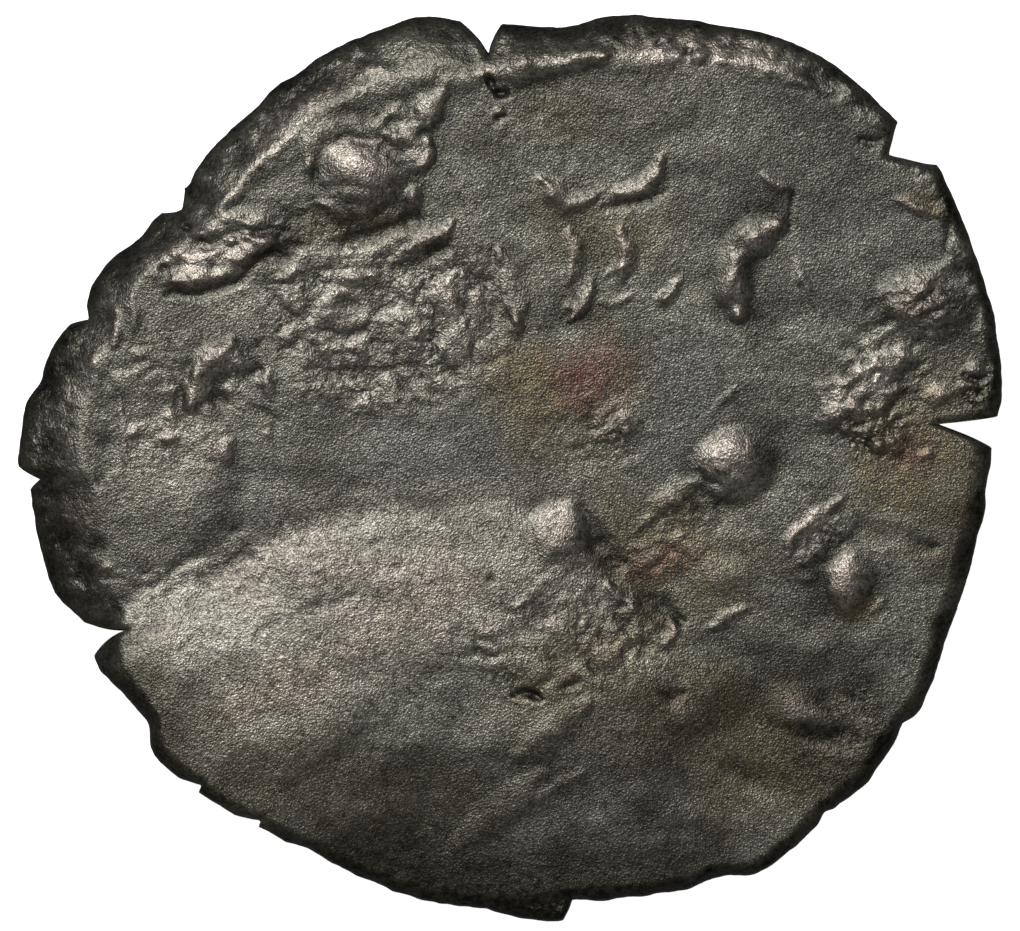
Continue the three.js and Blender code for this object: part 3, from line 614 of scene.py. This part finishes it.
def coinMesh():
    squares, under = mesh["squares"], mesh["undersideSquares"]
    x, y = gridPoints(squares)
    topZ, struck, broken = faceHeight(x, y)
    top = np.stack([*inset(x, y, flan["shoulderInset"]), topZ], -1).reshape(-1, 3)
    x, y = gridPoints(under)
    bottomZ = undersideHeight(x, y)
    bottom = np.stack([*inset(x, y, flan["footInset"]), bottomZ], -1).reshape(-1, 3)

    # Edge rows: a rounded band from the struck face's ring to the underside's.
    topRing = outerRing(squares)
    bottomRing = outerRing(under) + len(top)
    step = rimCount // len(bottomRing)
    shoulderZ = top[topRing, 2]
    footZ = np.interp(np.arange(rimCount), np.arange(0, rimCount + 1, step),
                      np.append(bottom[outerRing(under), 2], bottom[outerRing(under)[0], 2]))
    rows = []
    for row in range(1, mesh["rimRows"]):
        angle = math.pi * row / mesh["rimRows"]
        z = footZ + (shoulderZ - footZ) * (1 + math.cos(angle)) / 2
        depth = flan["shoulderInset"] if angle < math.pi / 2 else flan["footInset"]
        rowX, rowY = inset(rimX, rimY, depth * (1 - math.sin(angle) ** flan["edgeRound"]))
        rows.append(np.stack([rowX, rowY, z], -1))
    points = np.concatenate([top, bottom, *rows])
    rings = [topRing]
    faceCount = len(top) + len(bottom)
    for row in range(len(rows)):
        rings.append(faceCount + row * rimCount + np.arange(rimCount))

    triangles = [gridTriangles(squares, True), gridTriangles(under, False) + len(top)]
    for upper, lower in zip(rings[:-1], rings[1:]):
        upperNext, lowerNext = np.roll(upper, -1), np.roll(lower, -1)
        triangles.append(np.stack([lower, lowerNext, upperNext], -1))
        triangles.append(np.stack([lower, upperNext, upper], -1))
    last = rings[-1]
    first, second, third, fourth = (np.roll(last, -k)[::step] for k in range(4))
    foot, nextFoot = bottomRing, np.roll(bottomRing, -1)
    for corners in ((foot, second, first), (foot, nextFoot, second), (nextFoot, third, second),
                    (nextFoot, fourth, third)):
        triangles.append(np.stack(corners, -1))
    points[:, :2] -= middle
    return points, np.concatenate(triangles), struck, broken


def soften(grid, times):
    # Each value becomes the mean of its four neighbours, again and again.
    for _ in range(times):
        wide = np.pad(grid, 1, mode="edge")
        grid = (wide[:-2, 1:-1] + wide[2:, 1:-1] + wide[1:-1, :-2] + wide[1:-1, 2:]) / 4
    return grid


points, triangles, struckFace, brokenFace = coinMesh()
low, high = (np.array(corner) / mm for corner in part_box("coin"))
print("triangles", len(triangles), "heights", points[:, 2].min(), points[:, 2].max(), "frame", low, high)


def makeCoin():
    data = bpy.data.meshes.new("struckCoin")
    data.vertices.add(len(points))
    data.vertices.foreach_set("co", (points * mm).ravel())
    data.loops.add(triangles.size)
    data.loops.foreach_set("vertex_index", triangles.ravel())
    data.polygons.add(len(triangles))
    data.polygons.foreach_set("loop_start", np.arange(0, triangles.size, 3))
    data.polygons.foreach_set("use_smooth", np.ones(len(triangles), bool))
    data.update(calc_edges=True)
    data.validate()
    coin = bpy.data.objects.new("struckCoin", data)
    bpy.context.scene.collection.objects.link(coin)
    return coin


coin = makeCoin()


def setAttribute(obj, name, values):
    attribute = obj.data.attributes.new(name, "FLOAT", "POINT")
    attribute.data.foreach_set("value", np.asarray(values, np.float32))


# Stains, painted highlights and painted shade: place and half sizes in mm, turn in degrees, strength.
stains = {
    "rust": [
        ((1.35, 1.5), (.85, .85), 0, 1), ((2.7, -1.5), (.7, .4), 20, .6), ((6.6, .3), (.5, .5), 0, .5)],
    "ochre": [
        ((.3, 1.3), (.9, 1.3), 20, .9), ((1.5, 1.3), (1.3, 1.2), 0, .4), ((2.6, -1.3), (1.9, 1.1), -15, .7),
        ((6.7, .2), (1.2, 1.8), 0, .9), ((1.5, 4.0), (1.3, .8), 0, .5), ((.8, 6.0), (.8, .6), 20, .4),
        ((5.75, -2.35), (.5, .4), 0, .9), ((6.9, 4.4), (.5, .25), -25, .8),
        ((1.2, -3.4), (1.8, 1.0), 20, .7), ((3.8, -4.7), (2.0, 1.3), -30, .8),
        ((-3.8, -3.6), (2.2, .4), 28, .5), ((-1.6, -2.4), (1.4, .3), 30, .4),
        ((-2.6, -5.4), (3.2, 1.2), -15, .4), ((-2.6, 4.0), (1.2, .4), 5, .6)],
    "slate": [
        ((2.8, .9), (.9, 1.7), 0, .8), ((5.0, 4.6), (2.4, 2.0), -20, .5), ((-1.2, .3), (2.2, .7), 10, .7),
        ((-4.5, -.6), (1.2, 1.2), 0, .4)],
    # painted highlights: pale patches on the lit upper-left sides of the boss plate and pellets, on the back
    # and on lumps, with rubbed metal
    "rubbedAndHighlight": [
        ((-2.6, 5.25), (.6, .4), -10, .8), ((-2.6, -3.1), (3.2, .9), 28, .7),
        ((-2.0, 2.5), (2.6, 1.5), 5, .3), ((3.55, .3), (.5, .4), 0, .8), ((5.55, -1.75), (.3, .4), 0, .9),
        ((-5.6, .6), (1.0, 1.6), 0, .4), ((3.4, 6.95), (1.6, .4), -5, .6), ((6.0, 1.5), (.8, .4), 41, .6),
        ((5.0, -.95), (.5, .3), 40, .6), ((-5.1, 3.5), (.8, .5), 15, .6), ((.85, -1.0), (.4, .4), 0, .5),
        ((-3.8, 5.7), (1.6, .3), 45, .5)],
    # painted shade: darker towards the bottom and the edges, with the dark crust lumps and darker patches of
    # the field
    "shade": [
        ((-.5, -7.2), (6.5, 1.9), -4, 1), ((5.6, -4.6), (1.9, 1.5), -50, 1), ((4.6, -3.9), (1.6, .6), -30, .7),
        ((-6.2, -4.2), (2.2, 1.3), -40, .9), ((-7.3, -1.2), (.7, 1.2), 0, .8), ((7.7, 1.4), (.5, 2.6), 0, .3),
        ((2.2, -4.5), (3.0, 1.5), 10, .8), ((-7.7, .8), (.5, 1.6), 0, .5), ((6.9, 2.75), (.62, .55), 0, .6),
        ((6.05, .65), (.5, .38), 0, .6), ((1.7, .68), (.4, .28), 0, .9), ((7.8, 1.2), (.4, .5), 0, 1),
        ((2.3, 5.8), (.5, .25), 60, .5), ((7.3, -1.6), (.8, 1.6), 10, .45), ((-1.5, -5.6), (3.5, 1.0), -5, .3),
        ((1.6, 6.0), (2.2, .8), 5, .35), ((4.9, 4.9), (2.2, 1.8), 0, .65), ((-6.0, 2.3), (1.0, .9), 0, .1),
        ((-.8, .5), (2.0, .8), 0, .15), ((-3.4, .2), (1.4, 1.0), 0, .3), ((5.2, -2.6), (.8, .4), -20, .7),
        ((4.2, -2.8), (1.6, .6), -15, .3), ((-4.8, -.6), (.35, 1.3), 0, .4)],
}
masks = {
    "softenRounds": 40,
    "proud": .03, "sunk": .02,               # mm above and below the softened face, for full masks
    "wearMost": .5, "sunkDarkMost": .7,
    # the whole underside is darkened this much
    "undersideDarkening": .8,
    "wearStart": .4, "wearRise": .3,         # mm inside the edge where wear starts, and its way to full
    "bandStart": .5, "bandRise": 1.2,        # the same for the band of rubbing and painted highlight
    "bandEnd": 3,                            # the band fades from the middle to this far right of it
    "edgeShade": .3, "edgeUneven": .4,       # width of the painted shade round the edge, and its unevenness
    "unevenSize": .7,
    "stainCore": .3, "stainFade": .9,        # share of a stain at full strength, and its way to nothing
    "stainUneven": .5, "stainSize": .6,
}


def paintMasks():
    # Wear, with a painted highlight along the back's band, where the face stands proud of its softened self;
    # darker where it lies lower, painted shade round the edge, and the underside darkened all over.
    proud = struckFace - soften(struckFace, masks["softenRounds"])
    faceCount = struckFace.size
    x, y = points[:, 0] + middle[0], points[:, 1] + middle[1]
    faceX, faceY = x[:faceCount], y[:faceCount]
    wearAndHighlight = np.zeros(len(points))
    grimeAndShade = np.full(len(points), masks["undersideDarkening"])
    inside = (flanRadius(np.degrees(np.arctan2(y, x))) - np.hypot(x, y))[:faceCount]
    distance, side, _ = nearest(faceX, faceY, smoothPath(back["line"]))
    uneven = crumbs(faceX, faceY, masks["unevenSize"], seeds["band"])
    # painted highlight: the band below the back's line is made paler where its slope faces the light, along
    # with rubbing
    band = back["band"] * hill((-side * distance - back["bandAt"]) / back["bandReach"])
    band *= (smooth((masks["bandEnd"] - faceX) / masks["bandEnd"])
             * smooth((inside - masks["bandStart"]) / masks["bandRise"]) * (1 + uneven))
    worn = smooth(proud / masks["proud"]).ravel() * smooth((inside - masks["wearStart"]) / masks["wearRise"])
    wearAndHighlight[:faceCount] = np.maximum(worn * masks["wearMost"], band)
    # painted shade: a dark band round the edge, where its steep slope turns from the light; the face is also
    # darker where it lies below its softened self
    rim = 1 - smooth((inside + masks["edgeUneven"] * uneven) / masks["edgeShade"])
    grimeAndShade[:faceCount] = np.maximum(smooth(-proud / masks["sunk"]).ravel() * masks["sunkDarkMost"], rim)
    setAttribute(coin, "wearAndHighlight", wearAndHighlight)
    setAttribute(coin, "grimeAndShade", grimeAndShade)
    setAttribute(coin, "broken", np.append(np.clip(brokenFace, 0, 1), np.ones(len(points) - faceCount)))
    for name, patches in stains.items():
        mask = np.zeros(len(points))
        for centre, size, turn, strength in patches:
            ragged = masks["stainUneven"] * crumbs(x, y, masks["stainSize"], seeds["stains"])
            past = ellipseDistance(x, y, centre, size, turn) + ragged - masks["stainCore"]
            mask = np.maximum(mask, strength * (1 - smooth(past / masks["stainFade"])))
        mask[faceCount:] = 0
        setAttribute(coin, name, mask)


paintMasks()

print("patina")


def addNode(tree, kind, settings=None, links=None):
    # A node with its settings by name or input, and links from outputs to its inputs.
    node = tree.nodes.new(kind)
    for key, value in (settings or {}).items():
        if isinstance(key, int) or key in node.inputs:
            node.inputs[key].default_value = value
        else:
            setattr(node, key, value)
    for key, output in (links or {}).items():
        tree.links.new(output, node.inputs[key])
    return node


patina = {
    # the pale rubbed and bare colours also paint highlights, the dark shade and grime colours also paint shade
    "base": "#868479", "dark": "#54524a", "bareAndHighlight": "#9e9289", "grimeAndShade": "#23221d",
    "rust": "#78594f", "ochre": "#6e644c", "slate": "#6e6e6a", "shade": "#39352b",
    "pit": "#3a372f", "rubbedAndHighlight": "#b0a69b",
    # sizes and depths are in mm
    "speckleSize": .04,                # glinting grains
    "streakSize": .1,                  # short rubbed streaks
    "mottleSize": .7,                  # clouds of tone, drawn out along the rubbing
    "chipSize": .14,                   # crumbs of the broken ground
    "tintSize": .03, "tint": .6,       # grains of slightly different tone, and their strength
    "rubbing": -35,                    # degrees by which streaks and clouds are turned
    "darkest": .36, "palest": .62,     # cloud noise for the dark and for the base colour
    "speckleDepth": .0058, "streakDepth": .0025, "chipDepth": .018,
    "metallic": .88, "roughness": .38,
}


def potinMaterial():
    # Struck potin under an old grey-olive patina: satin, speckled with small glints,
    # paler where it is rubbed and where highlights are painted, darker where dirt and rust lie and where shade
    # is painted.
    material = bpy.data.materials.new("wornPotin")
    material.use_nodes = True
    tree = material.node_tree
    shader = tree.nodes["Principled BSDF"]
    rubbing = (0, 0, math.radians(patina["rubbing"]))
    spot = addNode(tree, "ShaderNodeTexCoord").outputs["Object"]
    turned = addNode(tree, "ShaderNodeMapping", {"Rotation": rubbing, "Scale": (.8, 1, 1)},
                     {"Vector": spot}).outputs[0]
    speckle = addNode(tree, "ShaderNodeTexVoronoi",
                      {"Scale": 1 / (patina["speckleSize"] * mm), "Detail": 1.0},
                      {"Vector": spot}).outputs["Distance"]
    tint = addNode(tree, "ShaderNodeTexVoronoi", {"Scale": 1 / (patina["tintSize"] * mm)},
                   {"Vector": spot}).outputs["Color"]
    tint = addNode(tree, "ShaderNodeRGBToBW", links={"Color": tint}).outputs[0]
    chips = addNode(tree, "ShaderNodeTexVoronoi", {"Scale": 1 / (patina["chipSize"] * mm), "Detail": 1.0},
                    {"Vector": spot}).outputs["Distance"]
    broken = addNode(tree, "ShaderNodeAttribute", {"attribute_name": "broken"}).outputs["Fac"]
    chips = addNode(tree, "ShaderNodeMath", {"operation": "MULTIPLY"}, {0: chips, 1: broken}).outputs[0]
    streak = addNode(tree, "ShaderNodeTexNoise", {"Scale": 1 / (patina["streakSize"] * mm), "Detail": 3.0},
                     {"Vector": turned}).outputs["Fac"]
    drawn = addNode(tree, "ShaderNodeMapping", {"Rotation": rubbing, "Scale": (.4, 1, 1)},
                    {"Vector": spot}).outputs[0]
    mottle = addNode(tree, "ShaderNodeTexNoise", {"Scale": 1 / (patina["mottleSize"] * mm), "Detail": 6.0,
                                                  "Roughness": .6}, {"Vector": drawn}).outputs["Fac"]

    tone = addNode(tree, "ShaderNodeMapRange",
                   {"From Min": patina["darkest"], "From Max": patina["palest"]},
                   {"Value": mottle}).outputs[0]
    colour = addNode(tree, "ShaderNodeMix", {"data_type": "RGBA", 6: toLinear(patina["dark"]),
                                             7: toLinear(patina["base"])}, {0: tone}).outputs[2]
    flecks = addNode(tree, "ShaderNodeMapRange", {"From Min": .35, "From Max": .6, "To Min": .35},
                     {"Value": streak}).outputs[0]
    pits = addNode(tree, "ShaderNodeMapRange", {"From Min": .5, "From Max": .3, "To Max": .7},
                   {"Value": streak}).outputs[0]
    colour = addNode(tree, "ShaderNodeMix", {"data_type": "RGBA", 7: toLinear(patina["pit"])},
                     {0: pits, 6: colour}).outputs[2]
    # masks of stains and wear, and of painted highlight and painted shade
    for name in ("slate", "ochre", "rust", "shade", "rubbedAndHighlight", "bareAndHighlight", "grimeAndShade"):
        source = {"bareAndHighlight": "wearAndHighlight"}.get(name, name)
        mask = addNode(tree, "ShaderNodeAttribute", {"attribute_name": source}).outputs["Fac"]
        amount = addNode(tree, "ShaderNodeMath", {"operation": "MULTIPLY"}, {0: mask, 1: flecks}).outputs[0]
        colour = addNode(tree, "ShaderNodeMix", {"data_type": "RGBA", 7: toLinear(patina[name])},
                         {0: amount, 6: colour}).outputs[2]
    colour = addNode(tree, "ShaderNodeMix", {"data_type": "RGBA", "blend_type": "OVERLAY", 0: patina["tint"]},
                     {6: colour, 7: tint}).outputs[2]
    tree.links.new(colour, shader.inputs["Base Color"])
    fine = addNode(tree, "ShaderNodeBump", {"Strength": 1.0, "Distance": patina["speckleDepth"] * mm},
                   {"Height": speckle}).outputs[0]
    both = addNode(tree, "ShaderNodeBump", {"Strength": 1.0, "Distance": patina["streakDepth"] * mm},
                   {"Height": streak, "Normal": fine}).outputs[0]
    crumbled = addNode(tree, "ShaderNodeBump", {"Strength": 1.0, "Distance": patina["chipDepth"] * mm,
                                                "invert": True}, {"Height": chips, "Normal": both}).outputs[0]
    tree.links.new(crumbled, shader.inputs["Normal"])
    shader.inputs["Metallic"].default_value = patina["metallic"]
    shader.inputs["Roughness"].default_value = patina["roughness"]
    return material


coin.data.materials.append(potinMaterial())
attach(coin, "root")
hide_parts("coin")

print("floor and light")
studio = {
    "floorSize": .6, "floorColour": "#f4f4f2", "floorGlow": 1.1,
    "keySize": .08, "keyDistance": .2, "keyBearing": 118, "keyElevation": 58, "keyPower": .262,
    "worldStrength": .115,
}


def makeFloor():
    # A pale board that glows a little, so that the coin's shadow on it stays faint.
    half = studio["floorSize"] / 2
    data = bpy.data.meshes.new("floor")
    corners = [(-half, -half, 0), (half, -half, 0), (half, half, 0), (-half, half, 0)]
    data.from_pydata(corners, [], [(0, 1, 2, 3)])
    floor = bpy.data.objects.new("floor", data)
    bpy.context.scene.collection.objects.link(floor)
    material = bpy.data.materials.new("paleBoard")
    material.use_nodes = True
    shader = material.node_tree.nodes["Principled BSDF"]
    shader.inputs["Base Color"].default_value = toLinear(studio["floorColour"])
    shader.inputs["Roughness"].default_value = .9
    shader.inputs["Emission Color"].default_value = toLinear(studio["floorColour"])
    shader.inputs["Emission Strength"].default_value = studio["floorGlow"]
    data.materials.append(material)
    floor.visible_diffuse = False        # the board throws no light on the coin
    floor.visible_glossy = False         # and isn't mirrored in it


def makeLight(name, size, distance, bearing, elevation, power):
    # A square lamp that looks at the coin from a bearing and an elevation in degrees.
    data = bpy.data.lights.new(name, "AREA")
    data.size = size
    data.energy = power
    lamp = bpy.data.objects.new(name, data)
    a, e = math.radians(bearing), math.radians(elevation)
    level = distance * math.cos(e)
    lamp.location = (level * math.cos(a), level * math.sin(a), distance * math.sin(e))
    lamp.rotation_euler = (math.pi / 2 - e, 0, a + math.pi / 2)
    bpy.context.scene.collection.objects.link(lamp)


makeFloor()
makeLight("key", studio["keySize"], studio["keyDistance"], studio["keyBearing"], studio["keyElevation"],
          studio["keyPower"])
world = bpy.data.worlds.new("studio")
world.use_nodes = True
world.node_tree.nodes["Background"].inputs["Strength"].default_value = studio["worldStrength"]
world.node_tree.nodes["Background"].inputs["Color"].default_value = (1, 1, 1, 1)
bpy.context.scene.world = world
bpy.context.scene.view_settings.view_transform = "Standard"
